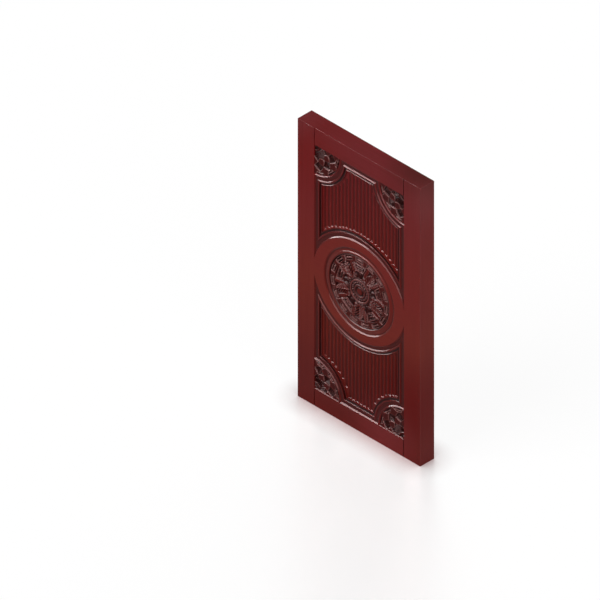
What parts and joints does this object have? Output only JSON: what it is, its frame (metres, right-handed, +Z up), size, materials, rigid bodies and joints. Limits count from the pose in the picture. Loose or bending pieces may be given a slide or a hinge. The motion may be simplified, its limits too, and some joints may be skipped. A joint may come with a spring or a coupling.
{
  "type": "carved wooden door leaf",
  "caption": "Thick hardwood door leaf with a framed pair of fluted panels, curved mouldings, carved corner pieces and a carved roundel on its middle rail.",
  "frame": {"origin": "middle of the bottom edge, on the floor", "axes": "+X across the leaf to the right of someone facing the carved side, +Y through the leaf from the carved face to the back, +Z up"},
  "size_m": [1.05, 0.12, 2.06],
  "materials": {
    "frame": "satin red mahogany lacquer",
    "panels": "satin red mahogany lacquer",
    "mouldings": "satin red mahogany lacquer, brighter on the worn edges",
    "carvings": "red mahogany lacquer with dark glaze in the hollows"
  },
  "bodies": {
    "root": {"left_stile": "frame", "right_stile": "frame", "top_rail": "frame", "middle_rail": "frame", "bottom_rail": "frame", "upper_panel": "panels", "lower_panel": "panels", "upper_head_moulding": "mouldings", "lower_foot_moulding": "mouldings", "upper_arch_moulding": "mouldings", "lower_arch_moulding": "mouldings", "upper_left_side_moulding": "mouldings", "upper_right_side_moulding": "mouldings", "lower_left_side_moulding": "mouldings", "lower_right_side_moulding": "mouldings", "corner_mouldings": "mouldings", "upper_left_corner_carving": "carvings", "upper_right_corner_carving": "carvings", "lower_left_corner_carving": "carvings", "lower_right_corner_carving": "carvings", "roundel": "carvings"}
  },
  "joints": []
}
